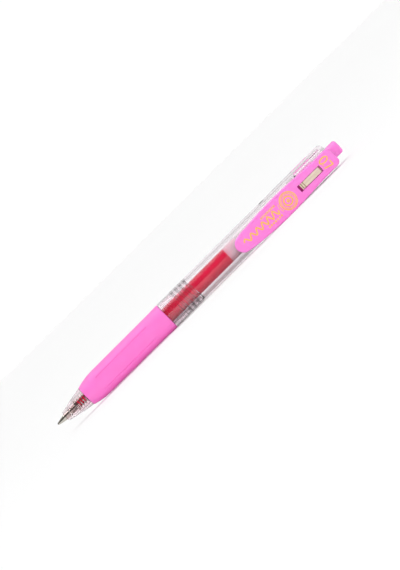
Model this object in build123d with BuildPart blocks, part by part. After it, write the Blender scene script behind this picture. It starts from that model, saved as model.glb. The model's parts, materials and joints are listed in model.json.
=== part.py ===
"""Retractable gel pen with a hinged clip, lying on a table with its tip out.

The pen's axis runs along X, tip towards -X and push button towards +X. It lies as it comes to rest by itself,
on the barrel and on one long edge of the clip. Each station is a distance in mm from the front of the ball.
"""

from build123d import *
import os
from math import asin, atan2, cos, degrees, hypot, radians, sin

os.makedirs("parts", exist_ok=True)

# ---- driving dimensions, mm ----

LENGTH = 140.1  # tip out
RETRACT = 4.5  # travel of button, rotor and refill from tip out to tip in
BARREL_R = 5.4
BARREL_BORE_R = 3.95
BARREL_FRONT = 54.8
BARREL_REAR = 135.8
DRAFT_FRONT = 88.0  # straight in front of this station, drafted behind it
BARREL_REAR_R = 5.36
REAR_ROUND = 2.1

NOSE_FRONT = 3.8
NOSE_R = 1.87
NOSE_REAR_R = 3.95
NOSE_LIP = 0.3  # rounding of the front edge
NOSE_MOUTH_R = 1.25
NOSE_BORE_R = 1.65
NOSE_BORE_FRONT = 6.4

GRIP_FRONT = 14.2
GRIP_REAR = 54.5
CORE_R = 4.0  # sleeve under the grip
CORE_FRONT_R = 3.0
CORE_TAPER_FRONT = 17.0
CORE_TAPER_REAR = 21.0
CORE_BORE_R = 3.3
FLANGE_R = 5.3  # ring between the grip and the upper barrel
GROOVE_FRONT = 21.4
GROOVE_REAR = 46.3
GROOVE_WIDTH = 0.35
GROOVE_COUNT = 6
GROOVE_BOTTOM_R = 4.9
GROOVE_TURN = 37  # of the first groove, round from the clip, with the front barrel screwed home

NECK_REAR = 67.9
NECK_R = 4.4
LAND_R = 4.85
LANDS = ((56.8, 58.1), (58.4, 59.6))  # two plain rings that centre the neck
LAND_GAP = 0.1
THREAD_PITCH = 2.0
THREAD_START = 61.2
THREAD_LENGTH = 6.0
THREAD_OVERRUN = 0.9  # of the groove past the thread's end
THREAD_CREST_R = 4.85
THREAD_CREST_WIDTH = 0.4
THREAD_ROOT_WIDTH = 0.9
THREAD_GAP = 0.08
ROOT_SINK = 0.15  # how far a swept or extruded root reaches into what it joins

BALL_R = 0.35
SOCKET_R = 0.375
SOCKET_REAR = 0.6
TIP_RIM = 0.22
TIP_RIM_R = 0.43
CONE_REAR = 3.3
TIP_R = 1.1
TIP_REAR = 7.0
SHANK_R = 0.85
SHANK_REAR = 9.5
HOLDER_R = 1.45
INK_BORE_R = 0.82
TIP_BORE_R = 0.3
HOLDER_COLLAR = 31.5
COLLAR_R = 2.6
HOLDER_REAR = 38.0
TUBE_FRONT = 33.5
TUBE_REAR = 113.5
TUBE_R = 3.0
TUBE_BORE_R = 2.2
INK_REAR = 84.4
FOLLOWER_REAR = 90.4
MENISCUS = 0.5
PLUG_DEPTH = 2.5
PLUG_HEAD = 2.0
VENT_R = 0.4

SPRING_SEAT = 9.0
SPRING_CHAMBER_R = 2.35
SPRING_MEAN_R = 1.9
WIRE_R = 0.22
SPRING_PITCH = 1.1

RIB_FRONT = 120.7
RIB_TIP_SLANT = 0.9
RIB_REAR = 133.8
RIB_TOP_R = 3.05
RIB_WIDTH = 1.2
GUIDE_R = 3.75  # outer radius of what slides between the ribs
GUIDE_WIDTH = 1.0
GUIDE_ROOT_R = 2.4
GUIDE_COUNT = 4
STEP_ANGLE = 45  # between neighbouring guide ribs
TOOTH_HEIGHT = 0.7
TOOTH_WIDTH = 2.0
SKIRT_R = 2.85
BUTTON_R = 2.65
BUTTON_BORE_R = 1.9
BUTTON_HOLE_R = 2.73
BUTTON_ROUND = 0.9
BUTTON_SKIRT = 7.7
PILOT_R = 1.6  # pin of the rotor that turns inside the button
PILOT_LENGTH = 4.1

CLIP_FRONT = 88.4
CLIP_REAR = 136.4
CLIP_TOP = 8.6  # outer face, from the pen's axis
CLIP_UNDER = 6.9
CLIP_EDGE = 0.7  # rounding of the long outer edges
CLIP_HALF_WIDTH = 4.4  # at the widest place
CLIP_HALF_REAR = 3.65
CLIP_WIDEST_TOP = 8.52  # outer face at the widest place
PIVOT_STATION = 125.0
PIVOT_HEIGHT = 6.1
TRUNNION_R = 0.6
TRUNNION_HOLE_R = 0.68
EAR_R = 1.05
EAR_IN = 1.55
EAR_OUT = 2.35
CHEEK_IN = 2.55
CHEEK_OUT = 3.35
WINDOW_FRONT = 118.9
WINDOW_REAR = 129.7
WINDOW_HALF = 1.35
LEAF_HALF = 1.1
LEAF_THICK = 0.22
LEAF_HEIGHT = 8.05
LEAF_LEG = 129.2
LEAF_SLOT_DEPTH = 0.7
LEAF_GAP = 0.1
MARK_STATION = 106.4
MARK_ANGLE = 71  # round from the clip
MARK_R = 1.3
MARK_DEPTH = 0.14

# ---- how the pen lies: the clip's edge and the barrel both touch the table ----

edge_height = CLIP_WIDEST_TOP - CLIP_EDGE
edge_side = CLIP_HALF_WIDTH - CLIP_EDGE
DIP = degrees(asin((BARREL_R - CLIP_EDGE) / hypot(edge_height, edge_side)) - atan2(edge_side, edge_height))
CLIP_REACH = 8.97  # how far the clip stands out sideways from the pen's axis
AXIS_Y = (CLIP_REACH - BARREL_R) / 2

OUT = Vector(0, -cos(radians(DIP)), -sin(radians(DIP)))  # from the axis towards the clip
ACROSS = Vector(0, -sin(radians(DIP)), cos(radians(DIP)))  # across the clip, upwards
TIP = Vector(-LENGTH / 2, AXIS_Y, BARREL_R)
ALONG = Vector(1, 0, 0)

PEN_AXIS = Axis(TIP, ALONG)
PROFILE = Plane(origin=TIP, x_dir=ALONG, z_dir=-ACROSS)  # station against height towards the clip


def facing(angle, height=0.0):
    """Plane along the pen that faces outwards, `angle` degrees round from the clip."""
    outwards = OUT * cos(radians(angle)) + ACROSS * sin(radians(angle))
    return Plane(origin=TIP + outwards * height, x_dir=ALONG, z_dir=outwards)


# ---- refill: ball, metal tip, holder, tube, ink, follower, plug ----


def socket_point(station):
    """Point of the round ball socket's profile at a station."""
    return (station, (SOCKET_R**2 - (station - BALL_R) ** 2) ** 0.5)


with BuildPart() as tip_ball:
    with Locations(TIP + ALONG * BALL_R):
        Sphere(BALL_R)

with BuildPart() as metal_tip:
    with BuildSketch(PROFILE):
        with BuildLine():
            Polyline(
                socket_point(TIP_RIM), (TIP_RIM, TIP_RIM_R), (CONE_REAR, TIP_R), (TIP_REAR, TIP_R),
                (TIP_REAR, SHANK_R), (SHANK_REAR, SHANK_R), (SHANK_REAR, TIP_BORE_R),
                (SOCKET_REAR, TIP_BORE_R), socket_point(SOCKET_REAR),
            )
            ThreePointArc(socket_point(SOCKET_REAR), socket_point(BALL_R), socket_point(TIP_RIM))
        make_face()
    revolve(axis=PEN_AXIS)

with BuildPart() as tip_holder:
    with BuildSketch(PROFILE):
        with BuildLine():
            Polyline(
                (TIP_REAR, SHANK_R), (TIP_REAR, 1.2), (TIP_REAR + 0.8, HOLDER_R), (HOLDER_COLLAR, HOLDER_R),
                (HOLDER_COLLAR, COLLAR_R), (HOLDER_COLLAR + 0.4, TUBE_R), (TUBE_FRONT, TUBE_R),
                (TUBE_FRONT, TUBE_BORE_R), (HOLDER_REAR, TUBE_BORE_R), (HOLDER_REAR, INK_BORE_R),
                (SHANK_REAR, INK_BORE_R), (SHANK_REAR, SHANK_R), close=True,
            )
        make_face()
    revolve(axis=PEN_AXIS)

with BuildPart() as refill_tube:
    with BuildSketch(PROFILE):
        with Locations(((TUBE_FRONT + TUBE_REAR) / 2, (TUBE_R + TUBE_BORE_R) / 2)):
            Rectangle(TUBE_REAR - TUBE_FRONT, TUBE_R - TUBE_BORE_R)
    revolve(axis=PEN_AXIS)

with BuildPart() as ink_column:
    with BuildSketch(PROFILE):
        with BuildLine():
            Polyline(
                (INK_REAR, 0), (SOCKET_REAR + 0.3, 0), (SOCKET_REAR + 0.3, TIP_BORE_R),
                (SHANK_REAR, TIP_BORE_R), (SHANK_REAR, INK_BORE_R), (HOLDER_REAR, INK_BORE_R),
                (HOLDER_REAR, TUBE_BORE_R), (INK_REAR + MENISCUS, TUBE_BORE_R),
            )
            TangentArc((INK_REAR, 0), (INK_REAR + MENISCUS, TUBE_BORE_R), tangent=(0, 1))
        make_face()
    revolve(axis=PEN_AXIS)

with BuildPart() as ink_follower:
    with BuildSketch(PROFILE):
        with BuildLine():
            TangentArc((INK_REAR, 0), (INK_REAR + MENISCUS, TUBE_BORE_R), tangent=(0, 1))
            Line((INK_REAR + MENISCUS, TUBE_BORE_R), (FOLLOWER_REAR + MENISCUS, TUBE_BORE_R))
            TangentArc((FOLLOWER_REAR, 0), (FOLLOWER_REAR + MENISCUS, TUBE_BORE_R), tangent=(0, 1))
            Line((FOLLOWER_REAR, 0), (INK_REAR, 0))
        make_face()
    revolve(axis=PEN_AXIS)

with BuildPart() as refill_tail_plug:
    with BuildSketch(PROFILE):
        with BuildLine():
            Polyline(
                (TUBE_REAR - PLUG_DEPTH, VENT_R), (TUBE_REAR - PLUG_DEPTH, TUBE_BORE_R),
                (TUBE_REAR, TUBE_BORE_R), (TUBE_REAR, TUBE_R), (TUBE_REAR + PLUG_HEAD - 0.4, TUBE_R),
                (TUBE_REAR + PLUG_HEAD, TUBE_R - 0.4), (TUBE_REAR + PLUG_HEAD, VENT_R), close=True,
            )
        make_face()
    revolve(axis=PEN_AXIS)

# ---- return spring, pressed between its seat in the nose and the holder's collar ----

with BuildPart() as return_spring:
    with BuildLine() as coil:
        Helix(
            pitch=SPRING_PITCH,
            height=HOLDER_COLLAR - SPRING_SEAT - 2.4 * WIRE_R,
            radius=SPRING_MEAN_R,
            center=TIP + ALONG * (SPRING_SEAT + 1.2 * WIRE_R),
            direction=ALONG,
        )
    with BuildSketch(Plane(origin=coil.line @ 0, z_dir=coil.line % 0)):
        Circle(WIRE_R)
    sweep(path=coil.line, is_frenet=True)

# ---- front barrel: clear nose, sleeve under the grip, neck with lands and thread ----


def thread_coil(start, length):
    """Centre line of the thread, on the neck's surface."""
    return Helix(
        pitch=THREAD_PITCH, height=length, radius=NECK_R, center=TIP + ALONG * start, direction=ALONG,
    )


def thread_section(helix):
    """Plane square to the helix at its start, with its X outwards from the pen's axis."""
    start = helix @ 0
    outwards = start - Vector(start.X, TIP.Y, TIP.Z)
    return Plane(origin=start, x_dir=outwards, z_dir=helix % 0)


with BuildPart() as front_barrel:
    with BuildSketch(PROFILE):
        with BuildLine():
            Line((NOSE_FRONT, NOSE_MOUTH_R), (NOSE_FRONT, NOSE_R - NOSE_LIP))
            RadiusArc((NOSE_FRONT, NOSE_R - NOSE_LIP), (NOSE_FRONT + NOSE_LIP, NOSE_R), -NOSE_LIP)
            ThreePointArc((NOSE_FRONT + NOSE_LIP, NOSE_R), (9.2, 3.02), (GRIP_FRONT, NOSE_REAR_R))
            Polyline(
                (GRIP_FRONT, NOSE_REAR_R), (GRIP_FRONT, CORE_FRONT_R), (CORE_TAPER_FRONT, CORE_FRONT_R),
                (CORE_TAPER_REAR, CORE_R), (GRIP_REAR, CORE_R), (GRIP_REAR, FLANGE_R),
                (BARREL_FRONT, FLANGE_R), (BARREL_FRONT, NECK_R), (NECK_REAR, NECK_R),
                (NECK_REAR, CORE_BORE_R), (30.0, CORE_BORE_R), (29.0, SPRING_CHAMBER_R),
                (SPRING_SEAT, SPRING_CHAMBER_R), (SPRING_SEAT, NOSE_BORE_R), (NOSE_BORE_FRONT, NOSE_BORE_R),
                (NOSE_BORE_FRONT - 0.4, NOSE_MOUTH_R), (NOSE_FRONT, NOSE_MOUTH_R),
            )
        make_face()
        for land_front, land_rear in LANDS:
            with Locations(((land_front + land_rear) / 2, (NECK_R - ROOT_SINK + LAND_R) / 2)):
                Rectangle(land_rear - land_front, LAND_R - NECK_R + ROOT_SINK)
    revolve(axis=PEN_AXIS)
    with BuildLine() as male_coil:
        add(thread_coil(THREAD_START, THREAD_LENGTH))
    with BuildSketch(thread_section(male_coil.line)):
        with BuildLine():
            Polyline(
                (-ROOT_SINK, -THREAD_ROOT_WIDTH / 2), (THREAD_CREST_R - NECK_R, -THREAD_CREST_WIDTH / 2),
                (THREAD_CREST_R - NECK_R, THREAD_CREST_WIDTH / 2), (-ROOT_SINK, THREAD_ROOT_WIDTH / 2),
                close=True,
            )
        make_face()
    sweep(path=male_coil.line, is_frenet=True)

# ---- rubber grip ----

with BuildPart() as rubber_grip:
    with BuildSketch(PROFILE):
        with BuildLine():
            Line((GRIP_FRONT, CORE_FRONT_R), (GRIP_FRONT, CORE_R))
            Spline(
                (GRIP_FRONT, CORE_R), (16.6, 4.62), (19.0, 5.02), (22.0, 5.16), (34.0, 5.19), (47.0, 5.2),
                (GRIP_REAR, BARREL_REAR_R), tangents=((1.0, 0.3), (1.0, 0.03)),
            )
            Polyline(
                (GRIP_REAR, BARREL_REAR_R), (GRIP_REAR, CORE_R), (CORE_TAPER_REAR, CORE_R),
                (CORE_TAPER_FRONT, CORE_FRONT_R), (GRIP_FRONT, CORE_FRONT_R),
            )
        make_face()
    revolve(axis=PEN_AXIS)
    for groove in range(GROOVE_COUNT):
        with BuildSketch(facing(GROOVE_TURN + groove * 360 / GROOVE_COUNT, GROOVE_BOTTOM_R)):
            with Locations(((GROOVE_FRONT + GROOVE_REAR) / 2, 0)):
                SlotOverall(GROOVE_REAR - GROOVE_FRONT, GROOVE_WIDTH)
        extrude(amount=1.0, mode=Mode.SUBTRACT)

# ---- upper barrel ----

with BuildPart() as upper_barrel:
    with BuildSketch(PROFILE):
        with BuildLine():
            Polyline(
                (BARREL_FRONT, LAND_R + LAND_GAP), (BARREL_FRONT, BARREL_R), (DRAFT_FRONT, BARREL_R),
                (BARREL_REAR - REAR_ROUND, BARREL_REAR_R),
            )
            RadiusArc(
                (BARREL_REAR - REAR_ROUND, BARREL_REAR_R),
                (BARREL_REAR, BARREL_REAR_R - REAR_ROUND),
                REAR_ROUND,
            )
            Polyline(
                (BARREL_REAR, BARREL_REAR_R - REAR_ROUND), (BARREL_REAR, BUTTON_HOLE_R),
                (RIB_REAR, BUTTON_HOLE_R), (RIB_REAR, BARREL_BORE_R), (NECK_REAR + 0.2, BARREL_BORE_R),
                (NECK_REAR + 0.2, NECK_R + 0.15), (60.0, NECK_R + 0.15), (60.0, LAND_R + LAND_GAP),
                (BARREL_FRONT, LAND_R + LAND_GAP),
            )
        make_face()
    revolve(axis=PEN_AXIS)
    # groove for the neck's thread: it starts one turn sooner and is wider and deeper by the gap
    with BuildLine() as female_coil:
        add(thread_coil(THREAD_START - THREAD_PITCH, THREAD_LENGTH + THREAD_PITCH + THREAD_OVERRUN))
    with BuildSketch(thread_section(female_coil.line)):
        half_root = THREAD_ROOT_WIDTH / 2 + THREAD_GAP
        half_crest = THREAD_CREST_WIDTH / 2 + THREAD_GAP
        depth = THREAD_CREST_R - NECK_R + THREAD_GAP
        with BuildLine():
            Polyline(
                (-ROOT_SINK, -half_root), (depth, -half_crest), (depth, half_crest), (-ROOT_SINK, half_root),
                close=True,
            )
        make_face()
    sweep(path=female_coil.line, is_frenet=True, mode=Mode.SUBTRACT)
    # guide ribs, each with a slanted front end on which the rotor's fins ride
    for rib in range(360 // STEP_ANGLE):
        with BuildSketch(facing((rib + 0.5) * STEP_ANGLE, RIB_TOP_R)):
            with BuildLine():
                Polyline(
                    (RIB_FRONT, -RIB_WIDTH / 2), (RIB_FRONT + RIB_TIP_SLANT, RIB_WIDTH / 2),
                    (RIB_REAR + 0.2, RIB_WIDTH / 2), (RIB_REAR + 0.2, -RIB_WIDTH / 2), close=True,
                )
            make_face()
        extrude(amount=BARREL_BORE_R - RIB_TOP_R + 2 * ROOT_SINK)
    # two ears that carry the clip, with holes for its trunnions
    for side in (-1, 1):
        with BuildSketch(PROFILE.offset(side * (EAR_IN + EAR_OUT) / 2)):
            with Locations((PIVOT_STATION, PIVOT_HEIGHT)):
                Circle(EAR_R)
            with Locations((PIVOT_STATION, PIVOT_HEIGHT - 0.7)):
                Trapezoid(5.2, 1.4, 60)
            with Locations((PIVOT_STATION, PIVOT_HEIGHT)):
                Circle(TRUNNION_HOLE_R, mode=Mode.SUBTRACT)
        extrude(amount=(EAR_OUT - EAR_IN) / 2, both=True)
    # slot that holds the leaf spring's leg
    with BuildSketch(facing(0, BARREL_R - LEAF_SLOT_DEPTH)):
        with Locations((LEAF_LEG, 0)):
            Rectangle(LEAF_THICK + LEAF_GAP, 2 * LEAF_HALF + LEAF_GAP)
    extrude(amount=LEAF_SLOT_DEPTH, mode=Mode.SUBTRACT)
    # shallow round gate mark on the flank
    with BuildSketch(facing(MARK_ANGLE, BARREL_R - MARK_DEPTH)):
        with Locations((MARK_STATION, 0)):
            Circle(MARK_R)
    extrude(amount=MARK_DEPTH, mode=Mode.SUBTRACT)

# ---- push mechanism: rotor and button ----


def crown_tooth(base, height):
    """Outline of one saw tooth of a crown, pointing along the pen: station against width."""
    half = TOOTH_WIDTH / 2
    return Polyline((base, -half), (base, half), (base + height, -half), close=True)


ROTOR_FRONT = TUBE_REAR + PLUG_HEAD + 0.05
ROTOR_REAR = RIB_FRONT - 1.0
with BuildPart() as cam_rotor:
    with BuildSketch(PROFILE):
        with BuildLine():
            Polyline(
                (ROTOR_FRONT, 0), (ROTOR_FRONT, 2.5), (ROTOR_FRONT + 0.4, SKIRT_R), (ROTOR_REAR, SKIRT_R),
                (ROTOR_REAR, PILOT_R), (ROTOR_REAR + PILOT_LENGTH - 0.4, PILOT_R),
                (ROTOR_REAR + PILOT_LENGTH, PILOT_R - 0.4), (ROTOR_REAR + PILOT_LENGTH, 0), close=True,
            )
        make_face()
    revolve(axis=PEN_AXIS)
    for fin in range(GUIDE_COUNT):
        with BuildSketch(facing(fin * 2 * STEP_ANGLE, GUIDE_ROOT_R)):
            with BuildLine():
                Polyline(
                    (ROTOR_REAR - 2.3, -GUIDE_WIDTH / 2), (ROTOR_REAR - 2.3, GUIDE_WIDTH / 2),
                    (ROTOR_REAR + 0.6, GUIDE_WIDTH / 2), (ROTOR_REAR, -GUIDE_WIDTH / 2), close=True,
                )
            make_face()
        extrude(amount=GUIDE_R - GUIDE_ROOT_R)
    for tooth in range(360 // STEP_ANGLE):
        with BuildSketch(facing(tooth * STEP_ANGLE, 2.05)):
            with BuildLine():
                add(crown_tooth(ROTOR_REAR - 0.05, TOOTH_HEIGHT))
            make_face()
        extrude(amount=0.6)

BUTTON_FRONT = RIB_FRONT + 0.6
with BuildPart() as push_button:
    with BuildSketch(PROFILE):
        with BuildLine():
            Polyline(
                (BUTTON_FRONT, BUTTON_BORE_R), (BUTTON_FRONT, SKIRT_R),
                (BUTTON_FRONT + BUTTON_SKIRT, SKIRT_R), (BUTTON_FRONT + BUTTON_SKIRT, BUTTON_R),
                (LENGTH - BUTTON_ROUND, BUTTON_R),
            )
            RadiusArc((LENGTH - BUTTON_ROUND, BUTTON_R), (LENGTH, BUTTON_R - BUTTON_ROUND), BUTTON_ROUND)
            Polyline(
                (LENGTH, BUTTON_R - BUTTON_ROUND), (LENGTH, 0), (LENGTH - 2.0, 0),
                (LENGTH - 2.0, BUTTON_BORE_R), (BUTTON_FRONT, BUTTON_BORE_R),
            )
        make_face()
    revolve(axis=PEN_AXIS)
    for spline in range(GUIDE_COUNT):
        with BuildSketch(facing((2 * spline + 1) * STEP_ANGLE, GUIDE_ROOT_R)):
            with Locations((BUTTON_FRONT + BUTTON_SKIRT / 2, 0)):
                Rectangle(BUTTON_SKIRT, GUIDE_WIDTH)
        extrude(amount=GUIDE_R - GUIDE_ROOT_R)
    for tooth in range(360 // STEP_ANGLE):
        with BuildSketch(facing(tooth * STEP_ANGLE, 2.15)):
            with BuildLine():
                add(crown_tooth(BUTTON_FRONT + 0.05, -TOOTH_HEIGHT))
            make_face()
        extrude(amount=0.6)

# ---- clip arm, with its jaw, window, cheeks and trunnions ----

with BuildPart() as clip_arm:
    with BuildSketch(facing(0, 4.0)):
        with BuildLine():
            front_side = 2.9
            half_side = Spline(
                (90.4, front_side), (96.0, 3.72), (104.0, 4.28), (111.0, CLIP_HALF_WIDTH),
                (118.0, 4.2), (126.0, 3.75), (CLIP_REAR - 1.8, CLIP_HALF_REAR),
                tangents=((1.0, 0.24), (1.0, 0)),
            )
            RadiusArc((CLIP_REAR - 1.8, CLIP_HALF_REAR), (CLIP_REAR, CLIP_HALF_REAR - 1.8), 1.8)
            Line((CLIP_REAR, CLIP_HALF_REAR - 1.8), (CLIP_REAR, 0))
            ThreePointArc((CLIP_FRONT, 0), (CLIP_FRONT + 0.62, 1.75), (90.4, front_side))
            mirror(about=Plane.XZ)
        make_face()
    extrude(amount=6.0)
    with BuildSketch(PROFILE):
        with BuildLine():
            Spline(
                (CLIP_FRONT - 0.2, 7.1), (96.0, 8.05), (111.0, CLIP_WIDEST_TOP), (122.0, CLIP_TOP),
                (CLIP_REAR + 0.2, 8.4), tangents=((1.0, 0.16), (1.0, -0.03)),
            )
            Polyline(
                (CLIP_REAR + 0.2, 8.4), (CLIP_REAR + 0.2, 7.0), (128.0, 7.3), (122.5, 7.3),
                (121.0, CLIP_UNDER), (95.6, CLIP_UNDER), (94.0, BARREL_R + 0.05),
                (90.4, BARREL_R + 0.05), (CLIP_FRONT - 0.2, 6.2), (CLIP_FRONT - 0.2, 7.1),
            )
        make_face()
    extrude(amount=8.0, both=True, mode=Mode.INTERSECT)
    outer_faces = clip_arm.faces().filter_by(lambda face: face.normal_at().dot(OUT) > 0.9)
    fillet(outer_faces.sort_by(Axis(TIP, OUT))[-1].edges(), CLIP_EDGE)
    with BuildSketch(facing(0, 4.0)):
        with Locations(((WINDOW_FRONT + WINDOW_REAR) / 2, 0)):
            Rectangle(WINDOW_REAR - WINDOW_FRONT, 2 * WINDOW_HALF)
    extrude(amount=6.0, mode=Mode.SUBTRACT)
    # ledge across the window, on which the leaf spring's free end presses
    with BuildSketch(PROFILE):
        with Locations((120.6, 7.35)):
            Rectangle(1.3, 0.8)
    extrude(amount=WINDOW_HALF + 0.1, both=True)
    for side in (-1, 1):
        with BuildSketch(PROFILE.offset(side * (CHEEK_IN + CHEEK_OUT) / 2)):
            with Locations((PIVOT_STATION, PIVOT_HEIGHT)):
                Circle(EAR_R)
            with Locations((PIVOT_STATION, PIVOT_HEIGHT + 0.8)):
                Rectangle(2 * EAR_R, 1.6)
        extrude(amount=(CHEEK_OUT - CHEEK_IN) / 2, both=True)
        with BuildSketch(PROFILE.offset(side * (CHEEK_IN + EAR_IN) / 2)):
            with Locations((PIVOT_STATION, PIVOT_HEIGHT)):
                Circle(TRUNNION_R)
        extrude(amount=(CHEEK_IN - EAR_IN) / 2 + 0.05, both=True)

# ---- leaf spring: bent steel strip from the slot in the barrel to the ledge in the clip's window ----

with BuildPart() as clip_leaf_spring:
    with BuildSketch(PROFILE):
        half = LEAF_THICK / 2
        with BuildLine():
            Polyline(
                (LEAF_LEG - half, BARREL_R - 0.6), (LEAF_LEG - half, LEAF_HEIGHT - 0.55),
                (LEAF_LEG - 0.6, LEAF_HEIGHT - half), (121.4, LEAF_HEIGHT - half), (120.4, 7.80),
                (119.9, 7.78), (119.9, 7.78 + LEAF_THICK), (120.4, 7.80 + LEAF_THICK),
                (121.4, LEAF_HEIGHT + half),
                (LEAF_LEG - 0.5, LEAF_HEIGHT + half), (LEAF_LEG + half, LEAF_HEIGHT - 0.45),
                (LEAF_LEG + half, BARREL_R - 0.6), close=True,
            )
        make_face()
    extrude(amount=LEAF_HALF, both=True)

# ---- labels and files ----

PARTS = {
    "upper_barrel": upper_barrel,
    "front_barrel": front_barrel,
    "rubber_grip": rubber_grip,
    "push_button": push_button,
    "cam_rotor": cam_rotor,
    "return_spring": return_spring,
    "refill_tube": refill_tube,
    "ink_column": ink_column,
    "ink_follower": ink_follower,
    "refill_tail_plug": refill_tail_plug,
    "tip_holder": tip_holder,
    "metal_tip": metal_tip,
    "tip_ball": tip_ball,
    "clip_arm": clip_arm,
    "clip_leaf_spring": clip_leaf_spring,
}
for label, piece in PARTS.items():
    piece.part.label = label
    export_step(piece.part, f"parts/{label}.step")
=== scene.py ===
"""Looks of the retractable gel pen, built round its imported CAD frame. Lengths are in millimetres until a
mesh is placed in the frame, which is in metres."""

import json
from math import cos, pi, radians, sin

import bmesh
import bpy
from mathutils import Matrix, Vector


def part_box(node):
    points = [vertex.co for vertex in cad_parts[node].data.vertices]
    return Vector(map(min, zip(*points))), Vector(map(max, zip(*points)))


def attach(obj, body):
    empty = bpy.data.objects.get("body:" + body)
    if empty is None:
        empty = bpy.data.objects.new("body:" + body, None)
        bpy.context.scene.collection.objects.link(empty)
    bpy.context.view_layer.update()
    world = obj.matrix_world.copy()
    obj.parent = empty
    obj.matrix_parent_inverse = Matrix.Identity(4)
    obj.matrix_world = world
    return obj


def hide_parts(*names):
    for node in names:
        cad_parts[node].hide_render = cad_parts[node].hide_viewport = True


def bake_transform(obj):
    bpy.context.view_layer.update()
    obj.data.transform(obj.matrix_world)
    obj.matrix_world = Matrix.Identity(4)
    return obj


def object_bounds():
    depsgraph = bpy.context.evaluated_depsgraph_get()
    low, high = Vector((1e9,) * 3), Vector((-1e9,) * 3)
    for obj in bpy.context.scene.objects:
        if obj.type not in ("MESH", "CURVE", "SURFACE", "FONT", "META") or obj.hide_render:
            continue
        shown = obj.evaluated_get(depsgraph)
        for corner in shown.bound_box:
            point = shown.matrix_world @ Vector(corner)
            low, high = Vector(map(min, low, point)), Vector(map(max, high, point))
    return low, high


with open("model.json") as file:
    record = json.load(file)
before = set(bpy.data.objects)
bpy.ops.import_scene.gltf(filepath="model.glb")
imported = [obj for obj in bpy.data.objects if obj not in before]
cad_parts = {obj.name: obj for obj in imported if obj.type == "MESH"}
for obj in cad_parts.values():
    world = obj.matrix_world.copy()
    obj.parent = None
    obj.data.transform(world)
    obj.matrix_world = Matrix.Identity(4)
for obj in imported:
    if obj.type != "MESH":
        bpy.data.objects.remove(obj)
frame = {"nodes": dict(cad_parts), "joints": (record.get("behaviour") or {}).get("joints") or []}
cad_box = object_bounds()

MM = 0.001

# ---- the pen's own axes, from the frame ----

ALONG = Vector((1, 0, 0))
hinge = next(joint for joint in frame["joints"] if joint["name"] == "clip_hinge")
ACROSS = Vector(hinge["axis"]).normalized()  # across the clip, upwards
OUT = ALONG.cross(ACROSS)  # from the axis towards the clip
ball_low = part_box("tip_ball")[0]
tube_low, tube_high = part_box("refill_tube")
TIP = Vector((ball_low.x, (tube_low.y + tube_high.y) / 2, (tube_low.z + tube_high.z) / 2))


def at(station, out=0.0, across=0.0):
    """Place in the frame of a point given in millimetres along the pen, out towards the clip and across
    it."""
    return TIP + (ALONG * station + OUT * out + ACROSS * across) * MM


def stations(node):
    """First and last station of a CAD node."""
    low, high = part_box(node)
    return (low.x - TIP.x) / MM, (high.x - TIP.x) / MM


PEN_AXES = Matrix((ALONG, ACROSS, OUT)).transposed().to_4x4()
PEN_TO_FRAME = Matrix.Translation(TIP) @ PEN_AXES @ Matrix.Scale(MM, 4)

# rounded, because the ball's facets put TIP a few micrometres off
GRIP_FRONT, GRIP_REAR = (round(station, 1) for station in stations("rubber_grip"))
SPRING_FRONT, SPRING_REAR = stations("return_spring")
FOLLOWER_FRONT, FOLLOWER_REAR = stations("ink_follower")
LEAF_REAR = stations("clip_leaf_spring")[1]
PEN_LENGTH = stations("push_button")[1]
MIDDLE = at(PEN_LENGTH / 2)


# ---- materials ----


def linear(hex_colour):
    """sRGB hex colour as linear RGBA."""
    values = [int(hex_colour[i : i + 2], 16) / 255 for i in (1, 3, 5)]
    return [v / 12.92 if v <= 0.04045 else ((v + 0.055) / 1.055) ** 2.4 for v in values] + [1.0]


WAVE_SPACING = pi / 10  # of a wave texture at scale 1


def spaced(millimetres):
    """Scale at which a noise or cell texture repeats about once in this many millimetres."""
    return 1 / (millimetres * MM)


def node(tree, kind, links=None, **settings):
    """Adds a node to a tree. settings are its properties, links are input names or numbers with values or
    sockets."""
    made = tree.nodes.new(kind)
    for key, value in settings.items():
        setattr(made, key, value)
    for key, value in (links or {}).items():
        socket = made.inputs[key]
        if isinstance(value, bpy.types.NodeSocket):
            tree.links.new(value, socket)
        else:
            socket.default_value = value
    return made


def new_finish(name, **sockets):
    """New material with its shader and output in place. Returns the material, its tree and the shader."""
    made = bpy.data.materials.new(name)
    made.use_nodes = True
    tree = made.node_tree
    tree.nodes.clear()
    shader = node(tree, "ShaderNodeBsdfPrincipled", {k.replace("_", " "): v for k, v in sockets.items()})
    node(tree, "ShaderNodeOutputMaterial", {"Surface": shader.outputs[0]})
    return made, tree, shader


def clear_moulding():
    """Clear styrene-acrylonitrile, injection moulded in a polished tool: nearly colourless and glossy. Its
    faint pink tint is painted light, the pink of the clip, grip and ink reflected in its walls. Faint flow
    lines along the barrel, about 2 mm apart, make long reflections waver and a light haze come and go."""
    made, tree, shader = new_finish(
        "clear_san_plastic", Base_Color=linear("#FDF6FA"), Transmission_Weight=1.0, IOR=1.43,
    )
    place = node(tree, "ShaderNodeTexCoord").outputs["Object"]
    drawn = node(tree, "ShaderNodeMapping", {
        "Vector": place, "Scale": (spaced(16.7), spaced(2.0), spaced(2.0))})
    flow = node(tree, "ShaderNodeTexNoise", {"Vector": drawn.outputs[0], "Scale": 1.0, "Detail": 2.0})
    haze = node(tree, "ShaderNodeMapRange", {
        "Value": flow.outputs[0], "From Min": 0.35, "From Max": 0.7, "To Min": 0.01, "To Max": 0.04})
    bump = node(tree, "ShaderNodeBump", {"Height": flow.outputs[0], "Strength": 0.1, "Distance": 0.01 * MM})
    tree.links.new(haze.outputs[0], shader.inputs["Roughness"])
    tree.links.new(bump.outputs[0], shader.inputs["Normal"])
    return made


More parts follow.
